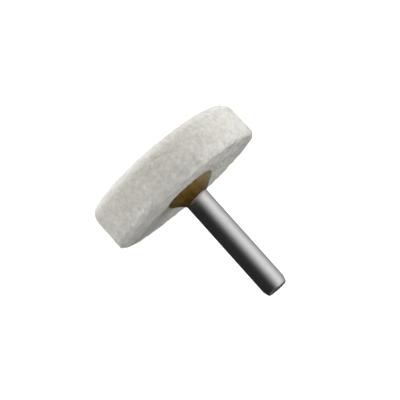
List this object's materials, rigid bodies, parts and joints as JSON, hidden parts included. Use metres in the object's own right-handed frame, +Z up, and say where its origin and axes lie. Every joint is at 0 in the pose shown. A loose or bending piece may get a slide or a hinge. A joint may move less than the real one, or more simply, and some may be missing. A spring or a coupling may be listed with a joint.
{
  "type": "felt polishing wheel",
  "caption": "Flat disc of hard pressed wool felt glued onto a straight round steel shank, turned by a drill or hand motor's collet to polish stone and metal with paste.",
  "frame": {"origin": "centre of the felt's working face, on the spin axis", "axes": "+Y is the spin axis and points out of the working face; the shank points along -Y to its free end; +Z is up; the part is round about Y, so +X is any radius at right angles to +Z"},
  "size_m": [0.04, 0.0406, 0.04],
  "materials": {
    "felt": "hard pressed wool felt, matt, finely mottled off-white",
    "steel": "ground and polished steel rod",
    "adhesive": "cured brown adhesive, slightly glossy"
  },
  "bodies": {
    "root": {"felt_wheel": "felt", "shank": "steel", "adhesive_bond": "adhesive"}
  },
  "joints": []
}
